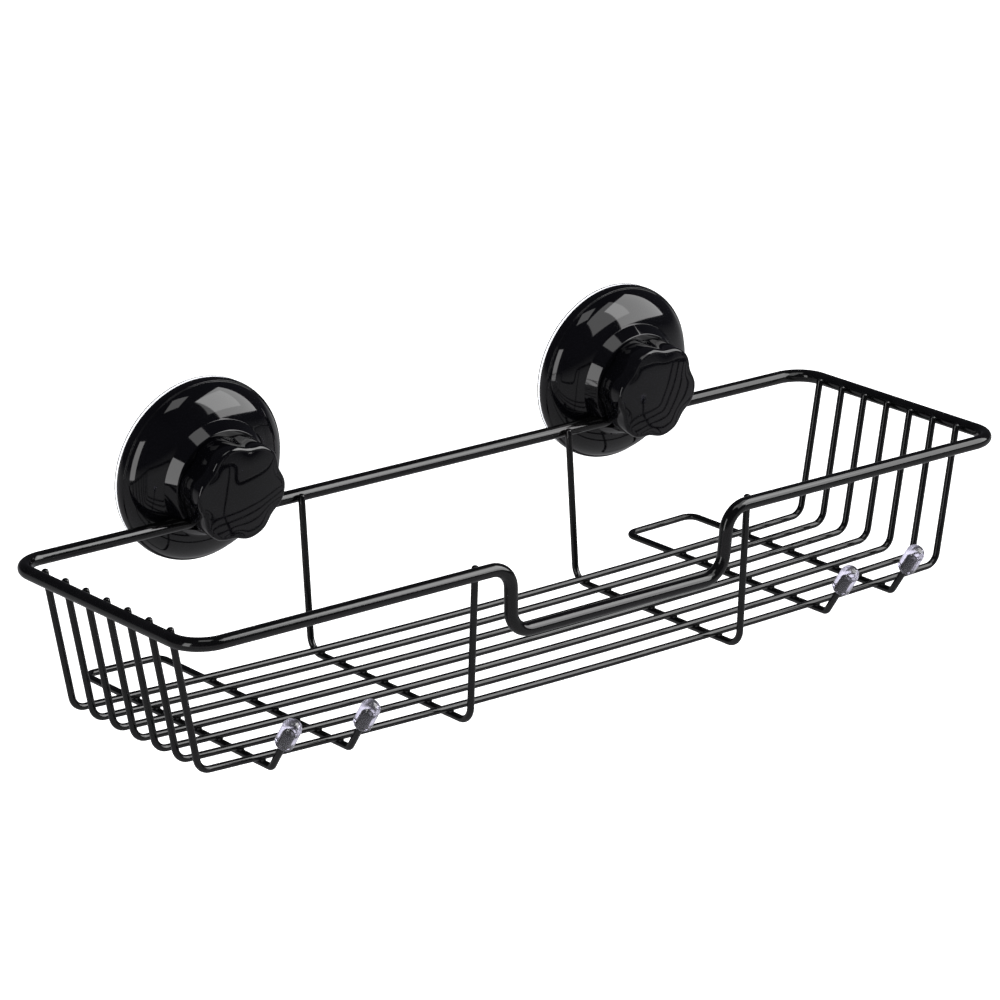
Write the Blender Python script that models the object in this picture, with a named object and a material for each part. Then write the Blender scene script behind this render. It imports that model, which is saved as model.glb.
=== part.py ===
"""Wire shower caddy: a black rod-and-wire basket held on a wall by two screw-down suction cups.

Frame: the wall is the plane Y = 0 and the room is at -Y.  +X runs along the basket, +Z is up.
The origin lies on the wall, midway between the two suction cups, at the height of their axes.
The basket is modelled about its back rod and hangs tilted until its hook wires meet the wall.
"""
import math

import bmesh
import bpy
from mathutils import Vector

MM = 0.001
GAP = 0.3 * MM  # clearance between pieces that touch, or are welded, on the real caddy

# Where the basket hangs from the suction cups
CUP_SPACING = 215.0 * MM
ROD_FROM_WALL = 17.8 * MM
ROD_BELOW_CUP = 15.0 * MM
BASKET_TILT = math.radians(5.5)

# Basket, measured about the back rod: X along it, Y towards the wall, Z square to the rim
ROD_DIAMETER = 5.6 * MM
WIRE_DIAMETER = 2.9 * MM
BASKET_LENGTH = 410.0 * MM
BASKET_DEPTH = 124.5 * MM
BASKET_HEIGHT = 61.8 * MM
RIM_CORNER_RADIUS = 13.0 * MM

# Dip in the middle of the front rod
DIP_DEPTH = 29.0 * MM
DIP_TOP_HALF_WIDTH = 55.5 * MM
DIP_BOTTOM_HALF_WIDTH = 54.0 * MM
DIP_BEND_RADIUS = 10.0 * MM

# Floor wires, each bent up at both ends
FLOOR_WIRE_COUNT = 7
FLOOR_FIRST_Y = -17.1 * MM
FLOOR_LAST_Y = -103.7 * MM
FLOOR_HALF_WIDTH = 189.8 * MM
FLOOR_BOW = 3.3 * MM  # rise of the floor wires from the middle to their bends
FLOOR_BEND_RADIUS = 6.0 * MM
FLOOR_RUN_STEPS = 8
TIP_ABOVE_RIM = 2.0 * MM

# The two cross supports under the floor
SUPPORT_X = 69.5 * MM
SUPPORT_LEAN = 4.4 * MM  # how far each upright leans in from the rim to the floor
SUPPORT_BEND_RADIUS = 7.0 * MM

# The two U-shaped hook wires under the floor, with soft caps on their tips
HOOK_INNER_X = 123.2 * MM
HOOK_OUTER_X = 160.0 * MM
HOOK_REAR_RADIUS = 5.0 * MM
HOOK_FRONT_Y = -109.0 * MM
HOOK_FRONT_RADIUS = 3.0 * MM
HOOK_RISE_ANGLE = math.radians(55.0)
HOOK_RISE_LENGTH = 23.4 * MM
CAP_START = 15.0 * MM  # along the rising end of the hook, from its bend
CAP_LENGTH = 13.4 * MM
CAP_DIAMETER = 8.0 * MM
CAP_BORE_DEPTH = 8.8 * MM

# Suction cup heights, all measured out from the wall along the cup's axis
PAD_RADIUS = 38.5 * MM
PAD_RIM_THICKNESS = 1.3 * MM
SEAL_INNER_RADIUS = 31.5 * MM
COVER_RADIUS = 38.8 * MM
COVER_WALL = 2.3 * MM
COVER_RIM_HEIGHT = 6.1 * MM
COVER_RIM_ROUNDING = 0.45 * MM  # how far the rim band falls in at its two edges
DOME_RADIUS = 37.8 * MM
DOME_SHOULDER_RADIUS = 35.2 * MM  # the dome's tangents meet here
DOME_SHOULDER_HEIGHT = 12.7 * MM
NECK_BASE_RADIUS = 25.0 * MM
NECK_BASE_HEIGHT = 15.6 * MM
NECK_FRONT_RADIUS = 22.0 * MM
NECK_FRONT_HEIGHT = 20.5 * MM
HUB_REAR_HEIGHT = 12.6 * MM
POST_HOLE_RADIUS = 4.7 * MM
KNOB_REAR_HEIGHT = 21.0 * MM
KNOB_FRONT_HEIGHT = 34.8 * MM
KNOB_RADIUS = 21.2 * MM
KNOB_LOBES = 6
KNOB_VALLEY_DEPTH = 1.9 * MM
KNOB_VALLEY_ANGLE = math.radians(82.0)
KNOB_WALL = 2.2 * MM
KNOB_EDGE_RADIUS = 1.6 * MM
KNOB_CROWN = 1.9 * MM  # rise of the knob's face from its rounded edge to the middle

# Rounded thread between the post and the knob
THREAD_PITCH = 3.0 * MM
THREAD_MEAN_RADIUS = 3.6 * MM
THREAD_WAVE = 0.45 * MM
THREAD_PLAY = 0.5 * MM
THREAD_START = 23.5 * MM
THREAD_SAMPLES = 12
THREAD_STEP = 0.75 * MM
POST_SHANK_RADIUS = 4.3 * MM
POST_HEAD_RADIUS = 7.0 * MM

ROD_SIDES = 4  # curve bevel resolutions
WIRE_SIDES = 2


def clear_scene():
    for item in list(bpy.data.objects):
        bpy.data.objects.remove(item, do_unlink=True)


def make_material(name, colour, roughness, alpha=1.0):
    material = bpy.data.materials.new(name)
    material.use_nodes = True
    shader = material.node_tree.nodes["Principled BSDF"]
    shader.inputs["Base Color"].default_value = (*colour, 1.0)
    shader.inputs["Roughness"].default_value = roughness
    shader.inputs["Metallic"].default_value = 0.0
    shader.inputs["Alpha"].default_value = alpha
    return material


def add_empty(name, location, rotation):
    empty = bpy.data.objects.new(name, None)
    empty.location = location
    empty.rotation_euler = rotation
    bpy.context.collection.objects.link(empty)
    return empty


def add_mesh_object(name, work, material, parent):
    """Turn a finished bmesh into a smooth-shaded object of the assembly."""
    bmesh.ops.recalc_face_normals(work, faces=work.faces)
    mesh = bpy.data.meshes.new(name)
    work.to_mesh(mesh)
    work.free()
    mesh.shade_smooth()
    mesh.set_sharp_from_angle(angle=math.radians(40.0))
    mesh.materials.append(material)
    item = bpy.data.objects.new(name, mesh)
    item.parent = parent
    bpy.context.collection.objects.link(item)
    return item


# ---------------------------------------------------------------- bent rod and wire


def bend_arc(before, corner, after, radius, steps):
    """Points of the arc that rounds one corner of a route."""
    to_before = (before - corner).normalized()
    to_after = (after - corner).normalized()
    half_angle = to_before.angle(to_after) / 2
    setback = radius / math.tan(half_angle)
    centre = corner + (to_before + to_after).normalized() * (radius / math.sin(half_angle))
    start = corner + to_before * setback - centre
    end = corner + to_after * setback - centre
    turn = math.pi - 2 * half_angle
    points = []
    for step in range(steps + 1):
        share = step / steps
        blend = start * math.sin((1 - share) * turn) + end * math.sin(share * turn)
        points.append(centre + blend / math.sin(turn))
    return points


def bent_route(corners, closed=False, steps=5):
    """Round a list of (point, bend radius) corners; a radius of zero keeps the point."""
    points = []
    count = len(corners)
    for index, (place, radius) in enumerate(corners):
        if radius == 0:
            points.append(Vector(place))
            continue
        before = Vector(corners[index - 1][0])
        after = Vector(corners[(index + 1) % count][0])
        points.extend(bend_arc(before, Vector(place), after, radius, steps))
    return points


def add_bent_wire(name, points, diameter, resolution, material, parent, closed=False):
    curve = bpy.data.curves.new(name, "CURVE")
    curve.dimensions = "3D"
    curve.bevel_depth = diameter / 2
    curve.bevel_resolution = resolution
    curve.use_fill_caps = not closed
    spline = curve.splines.new("POLY")
    spline.points.add(len(points) - 1)
    for point, place in zip(spline.points, points):
        point.co = (*place, 1.0)
    spline.use_cyclic_u = closed
    curve.materials.append(material)
    item = bpy.data.objects.new(name, curve)
    item.parent = parent
    bpy.context.collection.objects.link(item)
    return item


def floor_level(x):
    """Height of the floor wires' centre line, which bows up towards both ends."""
    return -BASKET_HEIGHT + FLOOR_BOW * (x / FLOOR_HALF_WIDTH) ** 2


def under_floor_level(x):
    """Height of a wire that is welded beneath the floor wires."""
    return floor_level(x) - WIRE_DIAMETER - GAP


def add_rim_frame(material, basket):
    """The closed rod loop, with a dip in the middle of its front run."""
    side = BASKET_LENGTH / 2
    front = -BASKET_DEPTH
    lean = SUPPORT_LEAN * DIP_DEPTH / BASKET_HEIGHT
    dip_floor = front + lean
    corners = [
        ((side, 0, 0), RIM_CORNER_RADIUS),
        ((-side, 0, 0), RIM_CORNER_RADIUS),
        ((-side, front, 0), RIM_CORNER_RADIUS),
        ((-DIP_TOP_HALF_WIDTH, front, 0), DIP_BEND_RADIUS),
        ((-DIP_BOTTOM_HALF_WIDTH, dip_floor, -DIP_DEPTH), DIP_BEND_RADIUS),
        ((DIP_BOTTOM_HALF_WIDTH, dip_floor, -DIP_DEPTH), DIP_BEND_RADIUS),
        ((DIP_TOP_HALF_WIDTH, front, 0), DIP_BEND_RADIUS),
        ((side, front, 0), RIM_CORNER_RADIUS),
    ]
    points = bent_route(corners, closed=True, steps=6)
    add_bent_wire("rim_frame", points, ROD_DIAMETER, ROD_SIDES, material, basket, closed=True)


def add_floor_wires(material, basket):
    """Seven wires along the floor, each with both ends bent up to the inside of the rim."""
    end_level = floor_level(FLOOR_HALF_WIDTH)
    weld_reach = (ROD_DIAMETER + WIRE_DIAMETER) / 2 + GAP
    lean = math.atan2(BASKET_LENGTH / 2 - weld_reach - FLOOR_HALF_WIDTH, -end_level)
    rim_x = BASKET_LENGTH / 2 - weld_reach / math.cos(lean)
    tip_x = rim_x + TIP_ABOVE_RIM * math.tan(lean)
    spacing = (FLOOR_LAST_Y - FLOOR_FIRST_Y) / (FLOOR_WIRE_COUNT - 1)
    for number in range(FLOOR_WIRE_COUNT):
        y = FLOOR_FIRST_Y + number * spacing
        corners = [((-tip_x, y, TIP_ABOVE_RIM), 0)]
        corners.append(((-FLOOR_HALF_WIDTH, y, end_level), FLOOR_BEND_RADIUS))
        for step in range(1, FLOOR_RUN_STEPS):
            x = FLOOR_HALF_WIDTH * (2 * step / FLOOR_RUN_STEPS - 1)
            corners.append(((x, y, floor_level(x)), 0))
        corners.append(((FLOOR_HALF_WIDTH, y, end_level), FLOOR_BEND_RADIUS))
        corners.append(((tip_x, y, TIP_ABOVE_RIM), 0))
        name = f"floor_wire_{number + 1}"
        add_bent_wire(name, bent_route(corners), WIRE_DIAMETER, WIRE_SIDES, material, basket)


def add_cross_supports(material, basket):
    """Two wires from the back rod, under the floor, up to the front rod."""
    weld_reach = (ROD_DIAMETER + WIRE_DIAMETER) / 2 + GAP
    level = under_floor_level(SUPPORT_X)
    rise = TIP_ABOVE_RIM / -level * SUPPORT_LEAN
    back_y = -weld_reach
    front_y = -BASKET_DEPTH + weld_reach
    for name, x in (("cross_support_left", -SUPPORT_X), ("cross_support_right", SUPPORT_X)):
        corners = [
            ((x, back_y + rise, TIP_ABOVE_RIM), 0),
            ((x, back_y - SUPPORT_LEAN, level), SUPPORT_BEND_RADIUS),
            ((x, front_y + SUPPORT_LEAN, level), SUPPORT_BEND_RADIUS),
            ((x, front_y - rise, TIP_ABOVE_RIM), 0),
        ]
        add_bent_wire(name, bent_route(corners), WIRE_DIAMETER, WIRE_SIDES, material, basket)


def hook_rear_y(level):
    """Where the closed end of a hook wire meets the wall, in the basket's own frame."""
    reach = ROD_FROM_WALL - WIRE_DIAMETER / 2 - GAP
    return (reach - level * math.sin(BASKET_TILT)) / math.cos(BASKET_TILT)


def hook_point(x, distance):
    """A point on the rising end of a hook, at a distance from its bend."""
    y = HOOK_FRONT_Y - distance * math.cos(HOOK_RISE_ANGLE)
    z = under_floor_level(x) + distance * math.sin(HOOK_RISE_ANGLE)
    return (x, y, z)


def add_hook_wires(material, basket):
    """Two U-shaped wires: the closed end rests on the wall, both legs end in front hooks."""
    for name, side in (("hook_wire_left", -1), ("hook_wire_right", 1)):
        outer = side * HOOK_OUTER_X
        inner = side * HOOK_INNER_X
        corners = []
        for x in (outer, inner):
            level = under_floor_level(x)
            leg = [
                (hook_point(x, HOOK_RISE_LENGTH), 0),
                (hook_point(x, 0), HOOK_FRONT_RADIUS),
                ((x, hook_rear_y(level), level), HOOK_REAR_RADIUS),
            ]
            corners.extend(leg if x == outer else reversed(leg))
        add_bent_wire(name, bent_route(corners), WIRE_DIAMETER, WIRE_SIDES, material, basket)


# ---------------------------------------------------------------- turned and lofted pieces


def turned_body(profile, segments):
    """Spin a (radius, height) outline about Z; an outline off the axis is closed on itself."""
    work = bmesh.new()
    on_axis = profile[0][0] == 0
    verts = [work.verts.new((radius, 0, height)) for radius, height in profile]
    edges = [work.edges.new(pair) for pair in zip(verts, verts[1:])]
    if not on_axis:
        edges.append(work.edges.new((verts[-1], verts[0])))
    bmesh.ops.spin(work, geom=verts + edges, cent=(0, 0, 0), axis=(0, 0, 1),
                   angle=2 * math.pi, steps=segments, use_merge=True)
    bmesh.ops.remove_doubles(work, verts=work.verts, dist=1e-6)
    return work


def lofted_body(rings, first_centre, last_centre):
    """Skin a stack of equal rings, closed at each end by a fan to a centre point."""
    work = bmesh.new()
    rows = [[work.verts.new(place) for place in ring] for ring in rings]
    count = len(rows[0])
    for lower, upper in zip(rows, rows[1:]):
        for index in range(count):
            follower = (index + 1) % count
            work.faces.new((lower[index], lower[follower], upper[follower], upper[index]))
    for row, centre in ((rows[0], first_centre), (rows[-1], last_centre)):
        hub = work.verts.new(centre)
        for index in range(count):
            work.faces.new((row[index], row[(index + 1) % count], hub))
    return work


def arc_points(start, end, bulge, steps):
    """Points of a shallow arc from start to end, both (radius, height), bowed by bulge."""
    run = (end[0] - start[0], end[1] - start[1])
    length = math.hypot(*run)
    normal = (-run[1] / length, run[0] / length)
    points = []
    for step in range(steps + 1):
        share = step / steps
        bow = bulge * 4 * share * (1 - share)
        points.append((start[0] + run[0] * share + normal[0] * bow,
                       start[1] + run[1] * share + normal[1] * bow))
    return points


def tangent_curve(start, shoulder, end, steps):
    """Points of a smooth curve that leaves start and reaches end aimed at the shoulder."""
    points = []
    for step in range(steps + 1):
        share = step / steps
        weights = ((1 - share) ** 2, 2 * share * (1 - share), share ** 2)
        points.append(tuple(sum(weight * place[axis] for weight, place
                                in zip(weights, (start, shoulder, end))) for axis in (0, 1)))
    return points


def ring_of(radius_at, height, count):
    """One ring of points whose radius may depend on the angle."""
    points = []
    for index in range(count):
        angle = 2 * math.pi * index / count
        radius = radius_at(angle)
        points.append((radius * math.cos(angle), radius * math.sin(angle), height))
    return points


def thread_radius(height, mean):
    """Radius of the rounded right-hand thread at one height, as a function of the angle."""
    def radius_at(angle):
        turns = (height - THREAD_START) / THREAD_PITCH - angle / (2 * math.pi)
        return mean + THREAD_WAVE * math.cos(2 * math.pi * turns)
    return radius_at


def plain_radius(radius):
    return lambda angle: radius


def lobed_radius(inset):
    """Outline of the knob: six broad lobes with shallow valleys between them."""
    def radius_at(angle):
        wave = 0.5 + 0.5 * math.cos(KNOB_LOBES * (angle - KNOB_VALLEY_ANGLE))
        return KNOB_RADIUS - inset - KNOB_VALLEY_DEPTH * wave ** 1.6
    return radius_at


def add_hook_caps(material, basket):
    """Soft domed caps pushed onto the four hook tips."""
    radius = CAP_DIAMETER / 2
    bore = WIRE_DIAMETER / 2 + GAP
    edge = 0.5 * MM
    dome_start = CAP_LENGTH - radius
    profile = [(0, CAP_BORE_DEPTH), (bore, CAP_BORE_DEPTH), (bore, 0), (radius - edge, 0)]
    profile.append((radius, edge))
    for step in range(4):
        angle = math.pi / 2 * step / 4
        profile.append((radius * math.cos(angle), dome_start + radius * math.sin(angle)))
    profile.append((0, CAP_LENGTH))
    places = (("left_outer", -HOOK_OUTER_X), ("left_inner", -HOOK_INNER_X),
              ("right_inner", HOOK_INNER_X), ("right_outer", HOOK_OUTER_X))
    for place, x in places:
        cap = add_mesh_object(f"hook_cap_{place}", turned_body(profile, 14), material, basket)
        cap.location = hook_point(x, CAP_START)
        cap.rotation_euler = (math.pi / 2 - HOOK_RISE_ANGLE, 0, 0)


def add_suction_pad(name, material, cup):
    """Soft pad: a flat sealing ring on the wall and a raised centre that holds the post."""
    seal = SEAL_INNER_RADIUS
    boss = 9.5 * MM
    rear_centre = 5.0 * MM
    front_slope = 7.2 * MM
    boss_front = 11.8 * MM
    pocket = POST_HEAD_RADIUS + GAP
    pocket_rear = 6.7 * MM
    pocket_front = 9.2 * MM
    edge = 0.4 * MM
    profile = [(0, rear_centre)]
    profile += arc_points((boss, rear_centre), (seal, 0), 0.7 * MM, 2)
    profile += [(PAD_RADIUS - edge, 0), (PAD_RADIUS, edge)]
    profile += [(PAD_RADIUS, PAD_RIM_THICKNESS - edge)]
    profile += [(PAD_RADIUS - edge, PAD_RIM_THICKNESS)]
    profile += arc_points((seal, PAD_RIM_THICKNESS), (boss, front_slope), -0.7 * MM, 2)
    profile += [(boss, boss_front), (POST_HOLE_RADIUS, boss_front)]
    profile += [(POST_HOLE_RADIUS, pocket_front), (pocket, pocket_front)]
    profile += [(pocket, pocket_rear), (0, pocket_rear)]
    add_mesh_object(name, turned_body(profile, 36), material, cup)


def cover_profile():
    """Half section of the cover shell: rim, dome, neck and hub with the post hole."""
    rim_rear = PAD_RIM_THICKNESS + GAP
    rim_inner = COVER_RADIUS - COVER_WALL
    corner = 0.8 * MM
    edge_radius = COVER_RADIUS - COVER_RIM_ROUNDING
    dome_start = (DOME_RADIUS, COVER_RIM_HEIGHT)
    shoulder = (DOME_SHOULDER_RADIUS, DOME_SHOULDER_HEIGHT)
    neck_base = (NECK_BASE_RADIUS, NECK_BASE_HEIGHT)
    hollow_start = (NECK_BASE_RADIUS - 3.4 * MM, HUB_REAR_HEIGHT)
    hollow_end = (rim_inner - 0.6 * MM, COVER_RIM_HEIGHT - 2.0 * MM)
    profile = [(rim_inner, rim_rear)]
    profile += arc_points((edge_radius, rim_rear), (edge_radius, COVER_RIM_HEIGHT),
                          -COVER_RIM_ROUNDING, 4)
    profile += tangent_curve(dome_start, shoulder, neck_base, 5)
    profile += [(NECK_FRONT_RADIUS, NECK_FRONT_HEIGHT - corner)]
    profile += [(NECK_FRONT_RADIUS - corner, NECK_FRONT_HEIGHT)]
    profile += [(POST_HOLE_RADIUS, NECK_FRONT_HEIGHT), (POST_HOLE_RADIUS, HUB_REAR_HEIGHT)]
    profile += arc_points(hollow_start, hollow_end, 2.6 * MM, 3)
    return profile


def add_rod_channel_cutter():
    """Shape of the channel that both cover necks keep open for the back rod."""
    radius = ROD_DIAMETER / 2 + GAP
    reach = 12.0 * MM
    half_length = CUP_SPACING / 2 + PAD_RADIUS + 10.0 * MM
    outline = []
    for step in range(9):
        angle = math.pi * step / 8
        outline.append((radius * math.sin(angle), radius * math.cos(angle)))
    outline += [(-reach, -radius), (-reach, radius)]
    work = bmesh.new()
    face = work.faces.new([work.verts.new((-half_length, y, z)) for y, z in outline])
    grown = bmesh.ops.extrude_face_region(work, geom=[face])
    verts = [item for item in grown["geom"] if isinstance(item, bmesh.types.BMVert)]
    bmesh.ops.translate(work, verts=verts, vec=(2 * half_length, 0, 0))
    bmesh.ops.recalc_face_normals(work, faces=work.faces)
    mesh = bpy.data.meshes.new("rod_channel_cutter")
    work.to_mesh(mesh)
    work.free()
    cutter = bpy.data.objects.new("rod_channel_cutter", mesh)
    cutter.location = (0, -ROD_FROM_WALL, -ROD_BELOW_CUP)
    cutter.hide_render = True
    cutter.display_type = "WIRE"
    bpy.context.collection.objects.link(cutter)
    return cutter


def add_cover(name, material, cup, cutter):
    """Hard cover whose neck is grooved for the rod, which the knob in front holds in."""
    cover = add_mesh_object(name, turned_body(cover_profile(), 40), material, cup)
    channel = cover.modifiers.new("rod_channel", "BOOLEAN")
    channel.object = cutter
    channel.operation = "DIFFERENCE"
    channel.solver = "EXACT"


def thread_heights():
    return [THREAD_START + index * THREAD_STEP for index in range(THREAD_SAMPLES)]


def add_threaded_post(name, material, cup):
    """Hard post moulded into the pad by its flat head, threaded at its outer end."""
    count = 16
    head_rear = 7.0 * MM
    head_front = 8.9 * MM
    root = THREAD_MEAN_RADIUS - THREAD_WAVE
    shank_front = THREAD_START - 3.0 * MM
    chamfer = 0.6 * MM
    rings = [
        ring_of(plain_radius(POST_HEAD_RADIUS), head_rear, count),
        ring_of(plain_radius(POST_HEAD_RADIUS), head_front, count),
        ring_of(plain_radius(POST_SHANK_RADIUS), head_front, count),
        ring_of(plain_radius(POST_SHANK_RADIUS), shank_front, count),
        ring_of(plain_radius(root), shank_front + chamfer, count),
    ]
    for height in thread_heights():
        rings.append(ring_of(thread_radius(height, THREAD_MEAN_RADIUS), height, count))
    tip = thread_heights()[-1] + THREAD_STEP
    rings.append(ring_of(plain_radius(root), tip, count))
    work = lofted_body(rings, (0, 0, head_rear), (0, 0, tip))
    add_mesh_object(name, work, material, cup)


def add_knob(name, material, cup):
    """Six-lobed hollow knob with a crowned face; its boss carries the thread for the post."""
    count = 30
    bore_mean = THREAD_MEAN_RADIUS + THREAD_PLAY
    bore_plain = bore_mean + THREAD_WAVE
    boss = 7.6 * MM
    boss_rear = KNOB_REAR_HEIGHT + 0.6 * MM
    cavity_top = KNOB_FRONT_HEIGHT - KNOB_WALL
    blind_end = thread_heights()[-1] + 2 * THREAD_STEP
    edge = KNOB_EDGE_RADIUS
    rings = [ring_of(plain_radius(bore_plain), blind_end, count)]
    for height in reversed(thread_heights()):
        rings.append(ring_of(thread_radius(height, bore_mean), height, count))
    rings += [
        ring_of(plain_radius(bore_plain), boss_rear, count),
        ring_of(plain_radius(boss), boss_rear, count),
        ring_of(plain_radius(boss), cavity_top, count),
        ring_of(lobed_radius(KNOB_WALL + edge), cavity_top, count),
        ring_of(lobed_radius(KNOB_WALL), KNOB_REAR_HEIGHT, count),
        ring_of(lobed_radius(0), KNOB_REAR_HEIGHT, count),
    ]
    for step in range(4):
        angle = math.pi / 2 * step / 3
        inset = edge * (1 - math.cos(angle))
        height = KNOB_FRONT_HEIGHT - edge * (1 - math.sin(angle))
        rings.append(ring_of(lobed_radius(inset), height, count))
    face_radius = KNOB_RADIUS - edge
    for share in (0.78, 0.54, 0.28):
        height = KNOB_FRONT_HEIGHT + KNOB_CROWN * (1 - share ** 2)
        rings.append(ring_of(plain_radius(face_radius * share), height, count))
    work = lofted_body(rings, (0, 0, blind_end), (0, 0, KNOB_FRONT_HEIGHT + KNOB_CROWN))
    add_mesh_object(name, work, material, cup)


def add_suction_cups(gloss_black, soft_clear, hard_white):
    """Both cups; each has its axis square to the wall and its own empties at the wall."""
    cutter = add_rod_channel_cutter()
    for side, x in (("left", -CUP_SPACING / 2), ("right", CUP_SPACING / 2)):
        cup = add_empty(f"{side}_cup_axis", (x, 0, 0), (math.pi / 2, 0, 0))
        add_suction_pad(f"{side}_suction_pad", soft_clear, cup)
        add_threaded_post(f"{side}_threaded_post", hard_white, cup)
        add_cover(f"{side}_cover", gloss_black, cup, cutter)
        add_knob(f"{side}_knob", gloss_black, cup)


def build_caddy():
    clear_scene()
    coated_steel = make_material("black_coated_steel", (0.012, 0.012, 0.013), 0.22)
    gloss_black = make_material("gloss_black_plastic", (0.014, 0.014, 0.016), 0.12)
    soft_clear = make_material("soft_clear_plastic", (0.78, 0.78, 0.84), 0.2, 0.45)
    hard_white = make_material("post_plastic", (0.55, 0.55, 0.56), 0.35)
    basket = add_empty("basket_axis", (0, -ROD_FROM_WALL, -ROD_BELOW_CUP), (-BASKET_TILT, 0, 0))
    add_rim_frame(coated_steel, basket)
    add_floor_wires(coated_steel, basket)
    add_cross_supports(coated_steel, basket)
    add_hook_wires(coated_steel, basket)
    add_hook_caps(soft_clear, basket)
    add_suction_cups(gloss_black, soft_clear, hard_white)


build_caddy()
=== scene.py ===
"""Looks of the wire shower caddy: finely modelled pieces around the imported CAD, studio and camera.

Frame: metres, wall at Y = 0, room at -Y, +X along the basket, +Z up, origin on the wall midway
between the two suction cups.  The basket's pieces are laid out about its back rod, as in the CAD.
"""
import math

import bmesh
import bpy
from mathutils import Matrix, Vector


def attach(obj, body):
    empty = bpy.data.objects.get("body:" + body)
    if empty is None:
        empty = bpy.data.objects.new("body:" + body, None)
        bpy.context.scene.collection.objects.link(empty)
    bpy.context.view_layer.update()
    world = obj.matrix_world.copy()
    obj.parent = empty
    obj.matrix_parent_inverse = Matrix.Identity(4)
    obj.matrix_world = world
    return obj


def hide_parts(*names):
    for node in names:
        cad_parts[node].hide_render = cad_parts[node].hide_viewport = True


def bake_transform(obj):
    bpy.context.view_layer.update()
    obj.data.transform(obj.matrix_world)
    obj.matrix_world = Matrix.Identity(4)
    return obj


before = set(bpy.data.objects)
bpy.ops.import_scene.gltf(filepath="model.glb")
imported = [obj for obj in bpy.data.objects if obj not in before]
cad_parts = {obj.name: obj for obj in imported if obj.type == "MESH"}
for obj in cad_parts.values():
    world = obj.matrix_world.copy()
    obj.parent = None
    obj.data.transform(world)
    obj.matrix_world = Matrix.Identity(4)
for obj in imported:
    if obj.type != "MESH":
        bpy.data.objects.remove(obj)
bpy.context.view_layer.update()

MM = 0.001

# How the basket hangs
CUP_SPACING = 215.0 * MM
ROD_FROM_WALL = 17.8 * MM
ROD_BELOW_CUP = 15.0 * MM
BASKET_TILT = math.radians(5.5)

# Basket, about its back rod
ROD_RADIUS = 2.8 * MM
WIRE_RADIUS = 1.45 * MM
WELD_GAP = 0.3 * MM
END_DOME_DEPTH = 0.75  # depth of a wire's rounded end, in radii
TIP_RISE = 0.15  # rise of its last point above its last section, in radii of that section
BASKET_LENGTH = 410.0 * MM
BASKET_DEPTH = 124.5 * MM
BASKET_HEIGHT = 61.8 * MM
RIM_CORNER_RADIUS = 13.0 * MM
DIP_DEPTH = 29.0 * MM
DIP_TOP_HALF_WIDTH = 55.5 * MM
DIP_BOTTOM_HALF_WIDTH = 54.0 * MM
DIP_BEND_RADIUS = 10.0 * MM
FLOOR_WIRE_COUNT = 7
FLOOR_FIRST_Y = -17.1 * MM
FLOOR_LAST_Y = -103.7 * MM
FLOOR_HALF_WIDTH = 189.8 * MM
FLOOR_BOW = 3.3 * MM
FLOOR_BEND_RADIUS = 6.0 * MM
TIP_ABOVE_RIM = 2.0 * MM
SUPPORT_X = 69.5 * MM
SUPPORT_LEAN = 4.4 * MM
SUPPORT_BEND_RADIUS = 7.0 * MM
HOOK_INNER_X = 123.2 * MM
HOOK_OUTER_X = 160.0 * MM
HOOK_REAR_RADIUS = 5.0 * MM
HOOK_FRONT_Y = -109.0 * MM
HOOK_FRONT_RADIUS = 3.0 * MM
HOOK_RISE_ANGLE = math.radians(55.0)
HOOK_RISE_LENGTH = 23.4 * MM
CAP_START = 15.0 * MM
CAP_LENGTH = 13.4 * MM
CAP_RADIUS = 4.0 * MM
CAP_GRIP_DEPTH = 7.2 * MM  # the wire's tip lies beyond it, wetted by the soft plastic

# Suction cups, heights out from the wall
PAD_RADIUS = 38.5 * MM
PAD_RIM_THICKNESS = 1.3 * MM
SEAL_INNER_RADIUS = 31.5 * MM
COVER_RADIUS = 38.8 * MM
COVER_WALL = 2.3 * MM
COVER_RIM_HEIGHT = 6.1 * MM
COVER_RIM_ROUNDING = 0.45 * MM
DOME_RADIUS = 37.8 * MM
DOME_SHOULDER_RADIUS = 35.2 * MM
DOME_SHOULDER_HEIGHT = 12.7 * MM
NECK_BASE_RADIUS = 25.0 * MM
NECK_BASE_HEIGHT = 15.6 * MM
NECK_FRONT_RADIUS = 22.0 * MM
NECK_FRONT_HEIGHT = 20.5 * MM
HUB_REAR_HEIGHT = 12.6 * MM
POST_HOLE_RADIUS = 4.7 * MM
KNOB_REAR_HEIGHT = 21.0 * MM
KNOB_FRONT_HEIGHT = 34.8 * MM
KNOB_RADIUS = 21.2 * MM
KNOB_LOBES = 6
KNOB_VALLEY_DEPTH = 1.9 * MM
KNOB_VALLEY_ANGLE = math.radians(82.0)
KNOB_WALL = 2.2 * MM
KNOB_EDGE_RADIUS = 1.6 * MM
KNOB_CROWN = 1.9 * MM
POST_HEAD_RADIUS = 7.0 * MM

ROD_PLACE = Matrix.Translation((0, -ROD_FROM_WALL, -ROD_BELOW_CUP))
BASKET_PLACE = ROD_PLACE @ Matrix.Rotation(-BASKET_TILT, 4, "X")


# ---------------------------------------------------------------- materials


def shader_of(name):
    material = bpy.data.materials.new(name)
    material.use_nodes = True
    return material, material.node_tree, material.node_tree.nodes["Principled BSDF"]


def noise(tree, place, scale, detail, roughness=0.5):
    node = tree.nodes.new("ShaderNodeTexNoise")
    node.inputs["Scale"].default_value = scale
    node.inputs["Detail"].default_value = detail
    node.inputs["Roughness"].default_value = roughness
    tree.links.new(place, node.inputs["Vector"])
    return node.outputs["Fac"]


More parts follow.
